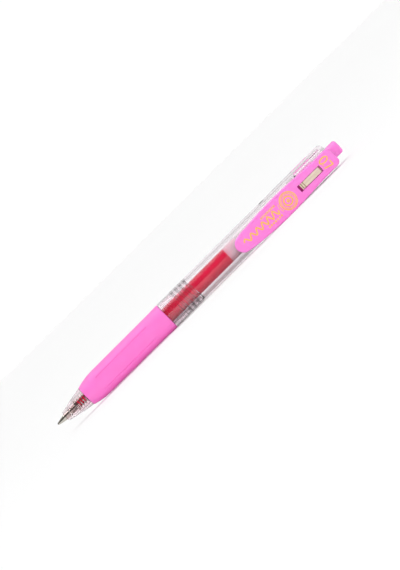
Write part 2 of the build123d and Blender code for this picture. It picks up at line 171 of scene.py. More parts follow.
def clear_nose_moulding():
    """The same clear plastic with a trace of pink, which is painted light from the pink grip round it,
    hazier where it was unscrewed and handled."""
    made, tree, shader = new_finish(
        "clear_nose_plastic", Base_Color=linear("#FCF0F3"), Transmission_Weight=1.0, IOR=1.38,
    )
    place = node(tree, "ShaderNodeTexCoord").outputs["Object"]
    flow = node(tree, "ShaderNodeTexNoise", {"Vector": place, "Scale": spaced(2.0), "Detail": 2.0})
    haze = node(tree, "ShaderNodeMapRange", {
        "Value": flow.outputs[0], "From Min": 0.35, "From Max": 0.7, "To Min": 0.04, "To Max": 0.1})
    bump = node(tree, "ShaderNodeBump", {"Height": flow.outputs[0], "Strength": 0.1, "Distance": 0.01 * MM})
    tree.links.new(haze.outputs[0], shader.inputs["Roughness"])
    tree.links.new(bump.outputs[0], shader.inputs["Normal"])
    return made


PINK_GLOW = (3 * MM, 1.2 * MM, 2 * MM)  # how far red, green and blue light travel in the pink plastics


def pink_rubber():
    """Moulded thermoplastic elastomer: saturated pink, satin, with a grain of about 0.15 mm that softens
    its shine and slight clouds in the dye."""
    made, tree, shader = new_finish(
        "pink_elastomer", IOR=1.5, Subsurface_Weight=0.2, Subsurface_Radius=PINK_GLOW,
        Subsurface_Scale=0.5,
    )
    place = node(tree, "ShaderNodeTexCoord").outputs["Object"]
    clouds = node(tree, "ShaderNodeTexNoise", {"Vector": place, "Scale": spaced(2.86), "Detail": 3.0})
    dye = node(tree, "ShaderNodeMix", {
        "Factor": clouds.outputs[0], "A": linear("#FD7ACE"), "B": linear("#FF82D6")}, data_type="RGBA")
    grain = node(tree, "ShaderNodeTexNoise", {"Vector": place, "Scale": spaced(1 / 7), "Detail": 2.0})
    satin = node(tree, "ShaderNodeMapRange", {
        "Value": grain.outputs[0], "From Min": 0.3, "From Max": 0.7, "To Min": 0.44, "To Max": 0.56})
    bump = node(tree, "ShaderNodeBump", {
        "Height": grain.outputs[0], "Strength": 0.15, "Distance": 0.03 * MM})
    tree.links.new(dye.outputs["Result"], shader.inputs["Base Color"])
    tree.links.new(satin.outputs[0], shader.inputs["Roughness"])
    tree.links.new(bump.outputs[0], shader.inputs["Normal"])
    return made


def pink_gloss():
    """Glossy injection-moulded ABS in the same pink, a little lighter than the rubber. Sink marks a few
    millimetres wide ripple its highlights, and handling leaves it less glossy in patches."""
    made, tree, shader = new_finish(
        "pink_abs", IOR=1.53, Subsurface_Weight=0.15, Subsurface_Radius=PINK_GLOW,
        Subsurface_Scale=0.4,
    )
    place = node(tree, "ShaderNodeTexCoord").outputs["Object"]
    waves = node(tree, "ShaderNodeTexNoise", {"Vector": place, "Scale": spaced(3.33), "Detail": 2.0})
    dye = node(tree, "ShaderNodeMix", {
        "Factor": waves.outputs[0], "A": linear("#FD7FD8"), "B": linear("#FF8BE0")}, data_type="RGBA")
    worn = node(tree, "ShaderNodeMapRange", {
        "Value": waves.outputs[0], "From Min": 0.35, "From Max": 0.7, "To Min": 0.2, "To Max": 0.3})
    bump = node(tree, "ShaderNodeBump", {"Height": waves.outputs[0], "Strength": 0.05, "Distance": 0.1 * MM})
    tree.links.new(dye.outputs["Result"], shader.inputs["Base Color"])
    tree.links.new(worn.outputs[0], shader.inputs["Roughness"])
    tree.links.new(bump.outputs[0], shader.inputs["Normal"])
    return made


def painted_shade_pink():
    """Painted shade: the clip's ABS deep in its window, painted dark magenta as it looks where only light
    that has been through the plastic arrives."""
    made, tree, shader = new_finish("pink_abs_in_shade", Roughness=0.5, IOR=1.53)
    place = node(tree, "ShaderNodeTexCoord").outputs["Object"]
    waves = node(tree, "ShaderNodeTexNoise", {"Vector": place, "Scale": spaced(1.11), "Detail": 2.0})
    dye = node(tree, "ShaderNodeMix", {
        "Factor": waves.outputs[0], "A": linear("#8C0A5C"), "B": linear("#B0207C")}, data_type="RGBA")
    tree.links.new(dye.outputs["Result"], shader.inputs["Base Color"])
    return made


def gel_ink():
    """Crimson gel ink, opaque at this depth. It wets the tube, so it has no shine of its own: its IOR is
    far below a real ink's for that reason. It clings to the wall in streaks along the tube, about 0.7 mm
    wide. Its small crimson emission is painted light: it makes the ink glow brighter than its lighting."""
    made, tree, shader = new_finish(
        "crimson_gel_ink", Roughness=0.4, IOR=1.02, Emission_Color=linear("#FF0038"), Emission_Strength=0.04,
    )
    place = node(tree, "ShaderNodeTexCoord").outputs["Object"]
    drawn = node(tree, "ShaderNodeMapping", {
        "Vector": place, "Scale": (spaced(22.2), spaced(0.714), spaced(0.714))})
    streaks = node(tree, "ShaderNodeTexNoise", {"Vector": drawn.outputs[0], "Scale": 1.0, "Detail": 3.0})
    share = node(tree, "ShaderNodeMapRange", {
        "Value": streaks.outputs[0], "From Min": 0.35, "From Max": 0.68})
    dye = node(tree, "ShaderNodeMix", {
        "Factor": share.outputs[0], "A": linear("#E40042"), "B": linear("#FF0A52")}, data_type="RGBA")
    tree.links.new(dye.outputs["Result"], shader.inputs["Base Color"])
    return made


STAIN_LENGTH = 2.2


def grease():
    """Cloudy follower grease: milky, stained pink by the ink, most of all in the first millimetre behind
    it. Its IOR is below a real grease's, so that it has no shine of its own in the tube."""
    made, tree, shader = new_finish(
        "follower_grease", Roughness=0.35, IOR=1.1, Subsurface_Weight=0.4,
        Subsurface_Radius=(2 * MM, 1 * MM, 1 * MM), Subsurface_Scale=0.5,
    )
    place = node(tree, "ShaderNodeTexCoord").outputs["Object"]
    clouds = node(tree, "ShaderNodeTexNoise", {"Vector": place, "Scale": spaced(1.67), "Detail": 3.0})
    milk = node(tree, "ShaderNodeMix", {
        "Factor": clouds.outputs[0], "A": linear("#FFD0DC"), "B": linear("#FFECF1")}, data_type="RGBA")
    along = node(tree, "ShaderNodeSeparateXYZ", {0: place})
    stain = node(tree, "ShaderNodeMapRange", {
        "Value": along.outputs["X"], "From Min": at(FOLLOWER_FRONT).x,
        "From Max": at(FOLLOWER_FRONT + STAIN_LENGTH).x,
        "To Min": 0.75, "To Max": 0.0})
    dye = node(tree, "ShaderNodeMix", {
        "Factor": stain.outputs[0], "A": milk.outputs["Result"], "B": linear("#EE86A0")}, data_type="RGBA")
    tree.links.new(dye.outputs["Result"], shader.inputs["Base Color"])
    return made


def milky_tube():
    """Extruded polypropylene tube: clear enough to show the ink, slightly milky where it is empty, with die
    lines along its length about 0.4 mm apart."""
    made, tree, shader = new_finish(
        "refill_polypropylene", Base_Color=linear("#FFF4F6"), Transmission_Weight=0.99, IOR=1.36,
    )
    place = node(tree, "ShaderNodeTexCoord").outputs["Object"]
    drawn = node(tree, "ShaderNodeMapping", {
        "Vector": place, "Scale": (spaced(33.3), spaced(0.4), spaced(0.4))})
    lines = node(tree, "ShaderNodeTexNoise", {"Vector": drawn.outputs[0], "Scale": 1.0, "Detail": 2.0})
    haze = node(tree, "ShaderNodeMapRange", {
        "Value": lines.outputs[0], "From Min": 0.35, "From Max": 0.7, "To Min": 0.02, "To Max": 0.06})
    bump = node(tree, "ShaderNodeBump", {
        "Height": lines.outputs[0], "Strength": 0.05, "Distance": 0.01 * MM})
    tree.links.new(haze.outputs[0], shader.inputs["Roughness"])
    tree.links.new(bump.outputs[0], shader.inputs["Normal"])
    return made


def white_acetal():
    """White acetal, low-friction and satin, with a fine waxy mottle."""
    made, tree, shader = new_finish("white_acetal", IOR=1.48)
    place = node(tree, "ShaderNodeTexCoord").outputs["Object"]
    mottle = node(tree, "ShaderNodeTexNoise", {"Vector": place, "Scale": spaced(0.667), "Detail": 3.0})
    white = node(tree, "ShaderNodeMix", {
        "Factor": mottle.outputs[0], "A": linear("#E9E2E4"), "B": linear("#F5F1F1")}, data_type="RGBA")
    satin = node(tree, "ShaderNodeMapRange", {
        "Value": mottle.outputs[0], "From Min": 0.3, "From Max": 0.7, "To Min": 0.3, "To Max": 0.42})
    tree.links.new(white.outputs["Result"], shader.inputs["Base Color"])
    tree.links.new(satin.outputs[0], shader.inputs["Roughness"])
    return made


def turned_steel():
    """Stainless tip, turned on a lathe. Rings square to the axis stretch its highlights: the real feed of
    0.02 mm is too fine to show, so they are 0.12 mm apart."""
    made, tree, shader = new_finish("turned_stainless", Base_Color=linear("#C6C2B8"), Metallic=1.0)
    place = node(tree, "ShaderNodeTexCoord").outputs["Object"]
    rings = node(tree, "ShaderNodeTexWave", {
        "Vector": place, "Scale": WAVE_SPACING * spaced(0.1208), "Distortion": 0.6, "Detail": 2.0,
    }, bands_direction="X")
    cut = node(tree, "ShaderNodeMapRange", {"Value": rings.outputs[1], "To Min": 0.1, "To Max": 0.2})
    bump = node(tree, "ShaderNodeBump", {
        "Height": rings.outputs[1], "Strength": 0.2, "Distance": 0.004 * MM})
    tree.links.new(cut.outputs[0], shader.inputs["Roughness"])
    tree.links.new(bump.outputs[0], shader.inputs["Normal"])
    return made


def spring_wire():
    """Bright drawn spring wire, with a trace of drawing soap that dulls it in patches."""
    made, tree, shader = new_finish("spring_wire", Metallic=1.0)
    place = node(tree, "ShaderNodeTexCoord").outputs["Object"]
    soap = node(tree, "ShaderNodeTexNoise", {"Vector": place, "Scale": spaced(0.4), "Detail": 3.0})
    tone = node(tree, "ShaderNodeMix", {
        "Factor": soap.outputs[0], "A": linear("#C4C0BA"), "B": linear("#DEDCD6")}, data_type="RGBA")
    dull = node(tree, "ShaderNodeMapRange", {
        "Value": soap.outputs[0], "From Min": 0.3, "From Max": 0.7, "To Min": 0.16, "To Max": 0.3})
    tree.links.new(tone.outputs["Result"], shader.inputs["Base Color"])
    tree.links.new(dull.outputs[0], shader.inputs["Roughness"])
    return made


# Painted shade: two darker bands across the leaf strip at its bends
BEND_SHADE_FRONT = 119.9
BEND_SHADE_REAR = 121.9
BEND_SHADES = ((0.3, "#8C7C5C"), (0.72, "#9C8C6A"))  # middle, as a share of that stretch, and tone of each band of painted shade
BEND_SHADE_HALF = 0.12


def leaf_strip():
    """Rolled spring strip, warm champagne. Rolling lines along it, drawn 0.2 mm apart, blur its reflections
    across, and two bands of painted shade darken it where its end is bent."""
    made, tree, shader = new_finish("rolled_spring_strip", Metallic=0.85)
    place = node(tree, "ShaderNodeTexCoord").outputs["Object"]
    drawn = node(tree, "ShaderNodeMapping", {
        "Vector": place, "Scale": (spaced(8.33), spaced(0.2), spaced(0.2))})
    lines = node(tree, "ShaderNodeTexNoise", {"Vector": drawn.outputs[0], "Scale": 1.0, "Detail": 3.0})
    share = node(tree, "ShaderNodeMapRange", {"Value": lines.outputs[0], "From Min": 0.3, "From Max": 0.7})
    tone = node(tree, "ShaderNodeMix", {
        "Factor": share.outputs[0], "A": linear("#D3C3A6"), "B": linear("#FBEFDC")}, data_type="RGBA")
    along = node(tree, "ShaderNodeSeparateXYZ", {0: place})
    end_share = node(tree, "ShaderNodeMapRange", {
        "Value": along.outputs["X"], "From Min": at(BEND_SHADE_FRONT).x, "From Max": at(BEND_SHADE_REAR).x})
    bend_shade = node(tree, "ShaderNodeValToRGB", {"Fac": end_share.outputs[0]})
    bend_shade.color_ramp.elements[0].color = linear("#FFFFFF")
    for middle, tone_there in BEND_SHADES:
        for share_along, shade_tone in (
            (middle - BEND_SHADE_HALF, "#FFFFFF"), (middle, tone_there), (middle + BEND_SHADE_HALF, "#FFFFFF"),
        ):
            bend_shade.color_ramp.elements.new(share_along).color = linear(shade_tone)
    bent = node(tree, "ShaderNodeMix", {
        "Factor": 1.0, "A": tone.outputs["Result"], "B": bend_shade.outputs[0]},
        data_type="RGBA", blend_type="MULTIPLY")
    dull = node(tree, "ShaderNodeMapRange", {"Value": share.outputs[0], "To Min": 0.26, "To Max": 0.42})
    bump = node(tree, "ShaderNodeBump", {"Height": lines.outputs[0], "Strength": 0.3, "Distance": 0.01 * MM})
    tree.links.new(bent.outputs["Result"], shader.inputs["Base Color"])
    tree.links.new(dull.outputs[0], shader.inputs["Roughness"])
    tree.links.new(bump.outputs[0], shader.inputs["Normal"])
    return made


def lapped_ball():
    """Lapped tungsten carbide ball, dark and bright, with open pores that hold ink, drawn 0.05 mm apart."""
    made, tree, shader = new_finish("lapped_carbide", Metallic=1.0)
    place = node(tree, "ShaderNodeTexCoord").outputs["Object"]
    pores = node(tree, "ShaderNodeTexVoronoi", {"Vector": place, "Scale": spaced(0.05)})
    tone = node(tree, "ShaderNodeMapRange", {
        "Value": pores.outputs["Distance"], "From Min": 0.05, "From Max": 0.25})
    carbide = node(tree, "ShaderNodeMix", {
        "Factor": tone.outputs[0], "A": linear("#5C4A52"), "B": linear("#9C9B9D")}, data_type="RGBA")
    dull = node(tree, "ShaderNodeMapRange", {"Value": tone.outputs[0], "To Min": 0.3, "To Max": 0.08})
    tree.links.new(carbide.outputs["Result"], shader.inputs["Base Color"])
    tree.links.new(dull.outputs[0], shader.inputs["Roughness"])
    return made


def gold_print():
    """Pad-printed gold ink: thin, warm orange-gold, softer in shine than the plastic under it, its flakes
    clouding it unevenly."""
    made, tree, shader = new_finish("gold_print_ink", Metallic=0.25)
    place = node(tree, "ShaderNodeTexCoord").outputs["Object"]
    flakes = node(tree, "ShaderNodeTexNoise", {"Vector": place, "Scale": spaced(0.25), "Detail": 2.0})
    tone = node(tree, "ShaderNodeMix", {
        "Factor": flakes.outputs[0], "A": linear("#FFB840"), "B": linear("#FFD478")}, data_type="RGBA")
    dull = node(tree, "ShaderNodeMapRange", {
        "Value": flakes.outputs[0], "From Min": 0.3, "From Max": 0.7, "To Min": 0.36, "To Max": 0.5})
    tree.links.new(tone.outputs["Result"], shader.inputs["Base Color"])
    tree.links.new(dull.outputs[0], shader.inputs["Roughness"])
    return made


def light_table():
    """Opal acrylic table lit from below, matt, with a faint pebble of about 2 mm: it leaves next to no
    shadow."""
    made, tree, shader = new_finish(
        "opal_acrylic", Base_Color=linear("#F6F6F6"), Roughness=0.9, Emission_Color=linear("#FFFFFF"),
        Emission_Strength=0.06,
    )
    place = node(tree, "ShaderNodeTexCoord").outputs["Object"]
    pebble = node(tree, "ShaderNodeTexNoise", {"Vector": place, "Scale": spaced(2.0), "Detail": 2.0})
    bump = node(tree, "ShaderNodeBump", {
        "Height": pebble.outputs[0], "Strength": 0.02, "Distance": 0.1 * MM})
    tree.links.new(bump.outputs[0], shader.inputs["Normal"])
    return made


CLEAR = clear_moulding()
CLEAR_NOSE = clear_nose_moulding()
RUBBER = pink_rubber()
PINK = pink_gloss()
INK = gel_ink()
GREASE = grease()
TUBE = milky_tube()
ACETAL = white_acetal()
STEEL = turned_steel()
WIRE = spring_wire()
STRIP = leaf_strip()
CARBIDE = lapped_ball()
GOLD = gold_print()
PAINTED_SHADE_PINK = painted_shade_pink()
TABLE = light_table()

CAD_FINISHES = {
    "upper_barrel": CLEAR,
    "front_barrel": CLEAR_NOSE,
    "push_button": PINK,
    "cam_rotor": ACETAL,
    "refill_tube": TUBE,
    "refill_tail_plug": ACETAL,
    "tip_holder": TUBE,
    "metal_tip": STEEL,
    "tip_ball": CARBIDE,
    "clip_arm": PINK,
}
for name, finish in CAD_FINISHES.items():
    frame["nodes"][name].material_slots[0].material = finish
for name in ("upper_barrel", "front_barrel", "refill_tube", "tip_holder"):
    frame["nodes"][name].visible_shadow = False  # lamps shine through clear plastic


# ---- meshes ----


def piece(name, mesh, finish, body=None, stands_for=None):
    """Object for a mesh already in the frame, riding on a body."""
    made = bpy.data.objects.new(name, mesh)
    bpy.context.scene.collection.objects.link(made)
    if not mesh.materials:
        mesh.materials.append(finish)
    if body:
        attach(made, body)
    if stands_for:
        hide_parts(stands_for)
    return made


SAME_PLACE = 0.0005
SHARP_EDGE = radians(35)
ROUND_SEGMENTS = 96


def closed_mesh(name, bm):
    """Smooth mesh from bmesh in pen millimetres, placed in the frame, doubles merged and faces outwards."""
    bmesh.ops.remove_doubles(bm, verts=bm.verts, dist=SAME_PLACE)
    bmesh.ops.recalc_face_normals(bm, faces=bm.faces)
    bm.transform(PEN_TO_FRAME)
    mesh = bpy.data.meshes.new(name)
    bm.to_mesh(mesh)
    bm.free()
    for face in mesh.polygons:
        face.use_smooth = True
    mesh.set_sharp_from_angle(angle=SHARP_EDGE)
    return mesh


def turned(name, outline):
    """Mesh turned round the pen's axis from a closed outline of (station, radius) points. Radius 0 makes a
    pole."""
    bm = bmesh.new()
    turns = [2 * pi * i / ROUND_SEGMENTS for i in range(ROUND_SEGMENTS)]
    rings = []
    for station, radius in outline:
        if radius == 0:
            rings.append([bm.verts.new((station, 0, 0))])
        else:
            rings.append([bm.verts.new((station, radius * cos(turn), radius * sin(turn))) for turn in turns])
    for one, two in zip(rings, rings[1:] + rings[:1]):
        if len(one) == 1 and len(two) == 1:
            continue
        for i in range(ROUND_SEGMENTS):
            j = (i + 1) % ROUND_SEGMENTS
            corners = [one[0]] if len(one) == 1 else [one[i], one[j]]
            corners += [two[0]] if len(two) == 1 else [two[j], two[i]]
            bm.faces.new(corners)
    return closed_mesh(name, bm)


def arc(centre, radius, start, end, steps=8):
    """Points on an arc in (station, radius), angles in degrees."""
    turns = [radians(start + (end - start) * i / steps) for i in range(steps + 1)]
    return [(centre[0] + radius * cos(turn), centre[1] + radius * sin(turn)) for turn in turns]


# ---- ink and follower: each bulges a hair into the tube's wall, so that light meets plastic, then ink ----

WETTING = 0.02  # how far the ink reaches into the plastic round it
TUBE_BORE_R = 2.2
HOLDER_BORE_R = 0.82
TIP_BORE_R = 0.3
INK_FRONT = 0.95  # behind the ball
TIP_BORE_REAR = 9.5
HOLDER_REAR = 38.0  # where the ink widens to the tube's bore
BULGE = 0.5  # of the faces where ink, grease and air meet
FACE_GAP = 0.02  # from the follower's front to each face that meets there


def dome(station, radius, steps=10):
    """Points from the axis to the wall on a shallow dome whose middle is at station and whose rim is BULGE
    behind."""
    return [(station + BULGE * (i / steps) ** 2, radius * i / steps) for i in range(steps + 1)]


ink_r = TUBE_BORE_R + WETTING
bore_r = HOLDER_BORE_R + WETTING
ink_outline = [
    (INK_FRONT, 0), (INK_FRONT, TIP_BORE_R), (TIP_BORE_REAR, TIP_BORE_R), (TIP_BORE_REAR, bore_r),
    (HOLDER_REAR, bore_r), (HOLDER_REAR, ink_r),
]
ink_outline += dome(FOLLOWER_FRONT - FACE_GAP, ink_r)[::-1]
piece("ink_column_gel", turned("ink_column_gel", ink_outline), INK, "refill", "ink_column")

follower_outline = dome(FOLLOWER_FRONT + FACE_GAP, ink_r) + dome(FOLLOWER_REAR - BULGE, ink_r)[::-1]
piece(
    "ink_follower_grease", turned("ink_follower_grease", follower_outline), GREASE, "refill", "ink_follower",
)


# ---- geometry nodes ----


def geometry_tree(name, inputs):
    """Empty geometry node tree with named inputs: name to (socket type, default)."""
    tree = bpy.data.node_groups.new(name, "GeometryNodeTree")
    tree.interface.new_socket("Geometry", in_out="INPUT", socket_type="NodeSocketGeometry")
    for label, (kind, default) in inputs.items():
        socket = tree.interface.new_socket(label, in_out="INPUT", socket_type=kind)
        if default is not None:
            socket.default_value = default
    tree.interface.new_socket("Geometry", in_out="OUTPUT", socket_type="NodeSocketGeometry")
    return tree, node(tree, "NodeGroupInput").outputs


def end_tree(tree, geometry, finish):
    """Ends a tree with Realize Instances and Set Material."""
    real = node(tree, "GeometryNodeRealizeInstances", {"Geometry": geometry})
    painted = node(tree, "GeometryNodeSetMaterial", {"Geometry": real.outputs[0], "Material": finish})
    node(tree, "NodeGroupOutput", {0: painted.outputs[0]})


def grown(name, tree, values, host=None):
    """Plain mesh that a tree makes with the named values."""
    holder = bpy.data.objects.new(name + "_holder", host or bpy.data.meshes.new(name + "_holder"))
    bpy.context.scene.collection.objects.link(holder)
    modifier = holder.modifiers.new("shape", "NODES")
    modifier.node_group = tree
    for item in tree.interface.items_tree:
        if item.in_out == "INPUT" and item.name in values:
            modifier[item.identifier] = values[item.name]
    view = bpy.context.evaluated_depsgraph_get()
    mesh = bpy.data.meshes.new_from_object(holder.evaluated_get(view))
    bpy.data.objects.remove(holder)
    mesh.name = name
    return mesh


# ---- return spring: closed coils at both ends, open coils between ----


MATH = "ShaderNodeMath"


def coil_spring_tree():
    """A wire wound round the pen's axis. A circle's points are sent round and along: by the wire's own
    width for each closed turn, and by the pitch that is left for each open one."""
    tree, given = geometry_tree("coil_spring", {
        "Length": ("NodeSocketFloat", 22.4),
        "Coil Radius": ("NodeSocketFloat", 1.9),
        "Wire Radius": ("NodeSocketFloat", 0.22),
        "Open Turns": ("NodeSocketFloat", 18.0),
        "Closed Turns": ("NodeSocketFloat", 2.0),
        "Steps Per Turn": ("NodeSocketInt", 30),
        "Wire Sides": ("NodeSocketInt", 12),
    })
    wire = node(tree, MATH, {0: given["Wire Radius"], 1: 2.0}, operation="MULTIPLY").outputs[0]
    both_ends = node(tree, MATH, {0: given["Closed Turns"], 1: 2.0}, operation="MULTIPLY").outputs[0]
    turns = node(tree, MATH, {0: given["Open Turns"], 1: both_ends}, operation="ADD").outputs[0]
    steps = node(tree, MATH, {0: turns, 1: given["Steps Per Turn"]}, operation="MULTIPLY").outputs[0]
    coil = node(tree, "GeometryNodeCurveSpiral", {
        "Resolution": steps, "Rotations": 1.0, "Start Radius": given["Coil Radius"],
        "End Radius": given["Coil Radius"], "Height": 0.0,
    })
    factor = node(tree, "GeometryNodeSplineParameter").outputs["Factor"]
    turn = node(tree, MATH, {0: factor, 1: turns}, operation="MULTIPLY").outputs[0]

    closed_length = node(tree, MATH, {0: both_ends, 1: wire, 2: wire}, operation="MULTIPLY_ADD").outputs[0]
    open_length = node(tree, MATH, {0: given["Length"], 1: closed_length}, operation="SUBTRACT").outputs[0]
    pitch = node(tree, MATH, {0: open_length, 1: given["Open Turns"]}, operation="DIVIDE").outputs[0]
    past_closed = node(tree, MATH, {0: turn, 1: given["Closed Turns"]}, operation="SUBTRACT").outputs[0]
    open_so_far = node(tree, "ShaderNodeClamp", {
        "Value": past_closed, "Min": 0.0, "Max": given["Open Turns"]}).outputs[0]
    closed_so_far = node(tree, MATH, {0: turn, 1: open_so_far}, operation="SUBTRACT").outputs[0]
    closed_along = node(tree, MATH, {
        0: closed_so_far, 1: wire, 2: given["Wire Radius"]}, operation="MULTIPLY_ADD").outputs[0]
    along = node(tree, MATH, {
        0: open_so_far, 1: pitch, 2: closed_along}, operation="MULTIPLY_ADD").outputs[0]

    angle = node(tree, MATH, {0: turn, 1: 2 * pi}, operation="MULTIPLY").outputs[0]
    cosine = node(tree, MATH, {0: angle}, operation="COSINE").outputs[0]
    sine = node(tree, MATH, {0: angle}, operation="SINE").outputs[0]
    place = node(tree, "ShaderNodeCombineXYZ", {
        "X": along,
        "Y": node(tree, MATH, {0: cosine, 1: given["Coil Radius"]}, operation="MULTIPLY").outputs[0],
        "Z": node(tree, MATH, {0: sine, 1: given["Coil Radius"]}, operation="MULTIPLY").outputs[0],
    })
    placed = node(tree, "GeometryNodeSetPosition", {
        "Geometry": coil.outputs[0], "Position": place.outputs[0]})
    section = node(tree, "GeometryNodeCurvePrimitiveCircle", {
        "Resolution": given["Wire Sides"], "Radius": given["Wire Radius"]})
    wound = node(tree, "GeometryNodeCurveToMesh", {
        "Curve": placed.outputs[0], "Profile Curve": section.outputs[0], "Fill Caps": True,
    })
    smooth = node(tree, "GeometryNodeSetShadeSmooth", {"Geometry": wound.outputs[0]})
    end_tree(tree, smooth.outputs[0], WIRE)
    return tree


spring_mesh = grown("return_spring_coil", coil_spring_tree(), {"Length": SPRING_REAR - SPRING_FRONT})
spring_mesh.transform(PEN_TO_FRAME @ Matrix.Translation((SPRING_FRONT, 0, 0)))
return_spring = piece("return_spring_coil", spring_mesh, WIRE)
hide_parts("return_spring")
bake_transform(return_spring)

# ---- rubber grip ----

FRONT_BORE_R = 3.02
REAR_BORE_R = 4.02
GRIP_OUTLINE = [
    # rounded front edge
    (GRIP_FRONT, FRONT_BORE_R), (GRIP_FRONT, 3.86), (GRIP_FRONT + 0.06, 3.98), (GRIP_FRONT + 0.2, 4.06),
    # shoulder, long waist and flare
    (16.6, 4.62), (19.0, 5.02), (22.0, 5.16), (34.0, 5.19), (47.0, 5.2), (51.0, 5.25),
    # rear edge
    (GRIP_REAR - 0.3, 5.35), (GRIP_REAR - 0.08, 5.35), (GRIP_REAR, 5.27),
    # bore, stepped down under the shoulder
    (GRIP_REAR, REAR_BORE_R), (21.0, REAR_BORE_R), (17.0, FRONT_BORE_R), (GRIP_FRONT, FRONT_BORE_R),
]
CROWDING = 0.78  # how strongly segments gather at the grooves


def grip_tree():
    """A sleeve turned from its outline, with long narrow grooves sunk in its outer side. A sheet is rolled
    up: its X goes round and its Y goes along the outline."""
    tree, given = geometry_tree("grooved_grip", {
        "Segments": ("NodeSocketInt", 192),
        "Steps": ("NodeSocketInt", 420),
        "Grooves": ("NodeSocketInt", 6),
        "Groove Turn": ("NodeSocketFloat", radians(37)),
        "Groove Width": ("NodeSocketFloat", 0.42),
        "Groove Depth": ("NodeSocketFloat", 0.28),
        "Groove Floor Share": ("NodeSocketFloat", 0.45),
        "Groove Front": ("NodeSocketFloat", 21.4),
        "Groove Rear": ("NodeSocketFloat", 46.3),
        "Outer Side": ("NodeSocketFloat", 4.7),
    })
    columns = node(tree, MATH, {0: given["Segments"], 1: 1.0}, operation="ADD").outputs[0]
    sheet = node(tree, "GeometryNodeMeshGrid", {
        "Size X": 1.0, "Size Y": 1.0, "Vertices X": columns, "Vertices Y": given["Steps"]})
    spot = node(tree, "ShaderNodeSeparateXYZ", {0: node(tree, "GeometryNodeInputPosition").outputs[0]})
    round_share = node(tree, MATH, {0: spot.outputs[0], 1: 0.5}, operation="ADD").outputs[0]
    outline_share = node(tree, MATH, {0: spot.outputs[1], 1: 0.5}, operation="ADD").outputs[0]

    # where between two grooves, from -1 to 1, with the groove itself at 0, and crowded towards it
    sector = node(tree, MATH, {0: round_share, 1: given["Grooves"]}, operation="MULTIPLY").outputs[0]
    nearest = node(tree, MATH, {0: sector}, operation="ROUND").outputs[0]
    half_offset = node(tree, MATH, {0: sector, 1: nearest}, operation="SUBTRACT").outputs[0]
    offset = node(tree, MATH, {0: half_offset, 1: 2.0}, operation="MULTIPLY").outputs[0]
    squared = node(tree, MATH, {0: offset, 1: offset}, operation="MULTIPLY").outputs[0]
    gather = node(tree, MATH, {
        0: squared, 1: CROWDING, 2: 1.0 - CROWDING}, operation="MULTIPLY_ADD").outputs[0]
    crowded = node(tree, MATH, {0: offset, 1: gather}, operation="MULTIPLY").outputs[0]

    half_sector = node(tree, MATH, {0: pi, 1: given["Grooves"]}, operation="DIVIDE").outputs[0]
    sector_angle = node(tree, MATH, {0: half_sector, 1: 2.0}, operation="MULTIPLY").outputs[0]
    from_groove = node(tree, MATH, {0: crowded, 1: half_sector}, operation="MULTIPLY").outputs[0]
    groove_angle = node(tree, MATH, {
        0: nearest, 1: sector_angle, 2: given["Groove Turn"]}, operation="MULTIPLY_ADD").outputs[0]
    angle = node(tree, MATH, {0: groove_angle, 1: from_groove}, operation="ADD").outputs[0]

    sample = node(tree, "GeometryNodeSampleCurve", {
        "Curves": given["Geometry"], "Factor": outline_share}, mode="FACTOR", use_all_curves=True)
    outline = node(tree, "ShaderNodeSeparateXYZ", {0: sample.outputs["Position"]})
    station, radius = outline.outputs[0], outline.outputs[1]

    # how far from the groove's middle line, whose ends are round
    across = node(tree, MATH, {0: from_groove, 1: radius}, operation="MULTIPLY").outputs[0]
    before = node(tree, MATH, {0: given["Groove Front"], 1: station}, operation="SUBTRACT").outputs[0]
    behind = node(tree, MATH, {0: station, 1: given["Groove Rear"]}, operation="SUBTRACT").outputs[0]
    past_an_end = node(tree, MATH, {0: before, 1: behind}, operation="MAXIMUM").outputs[0]
    past = node(tree, MATH, {0: past_an_end, 1: 0.0}, operation="MAXIMUM").outputs[0]
    away = node(tree, "ShaderNodeCombineXYZ", {"X": across, "Y": past})
    distance = node(tree, "ShaderNodeVectorMath", {0: away.outputs[0]}, operation="LENGTH").outputs["Value"]

    groove_half = node(tree, MATH, {0: given["Groove Width"], 1: 0.5}, operation="MULTIPLY").outputs[0]
    floor_half = node(tree, MATH, {
        0: groove_half, 1: given["Groove Floor Share"]}, operation="MULTIPLY").outputs[0]
    sunk = node(tree, "ShaderNodeMapRange", {
        "Value": distance, "From Min": floor_half, "From Max": groove_half, "To Min": 1.0, "To Max": 0.0,
    }, interpolation_type="SMOOTHSTEP").outputs[0]
    outer = node(tree, MATH, {0: radius, 1: given["Outer Side"]}, operation="GREATER_THAN").outputs[0]
    full_depth = node(tree, MATH, {0: given["Groove Depth"], 1: outer}, operation="MULTIPLY").outputs[0]
    depth = node(tree, MATH, {0: sunk, 1: full_depth}, operation="MULTIPLY").outputs[0]
    left = node(tree, MATH, {0: radius, 1: depth}, operation="SUBTRACT").outputs[0]

    sine = node(tree, MATH, {0: angle}, operation="SINE").outputs[0]
    cosine = node(tree, MATH, {0: angle}, operation="COSINE").outputs[0]
    place = node(tree, "ShaderNodeCombineXYZ", {
        "X": station,
        "Y": node(tree, MATH, {0: sine, 1: left}, operation="MULTIPLY").outputs[0],
        "Z": node(tree, MATH, {0: cosine, 1: left}, operation="MULTIPLY").outputs[0],
    })
    placed = node(tree, "GeometryNodeSetPosition", {
        "Geometry": sheet.outputs[0], "Position": place.outputs[0]})
    joined = node(tree, "GeometryNodeMergeByDistance", {
        "Geometry": placed.outputs[0], "Distance": 2 * SAME_PLACE})
    smooth = node(tree, "GeometryNodeSetShadeSmooth", {"Geometry": joined.outputs[0]})
    end_tree(tree, smooth.outputs[0], RUBBER)
    return tree


def drawn_outline(name, points):
    """Poly curve through (station, radius) points."""
    curve = bpy.data.curves.new(name, "CURVE")
    curve.dimensions = "3D"
    line = curve.splines.new("POLY")
    line.points.add(len(points) - 1)
    for spot, (station, radius) in zip(line.points, points):
        spot.co = (station, radius, 0, 1)
    return curve


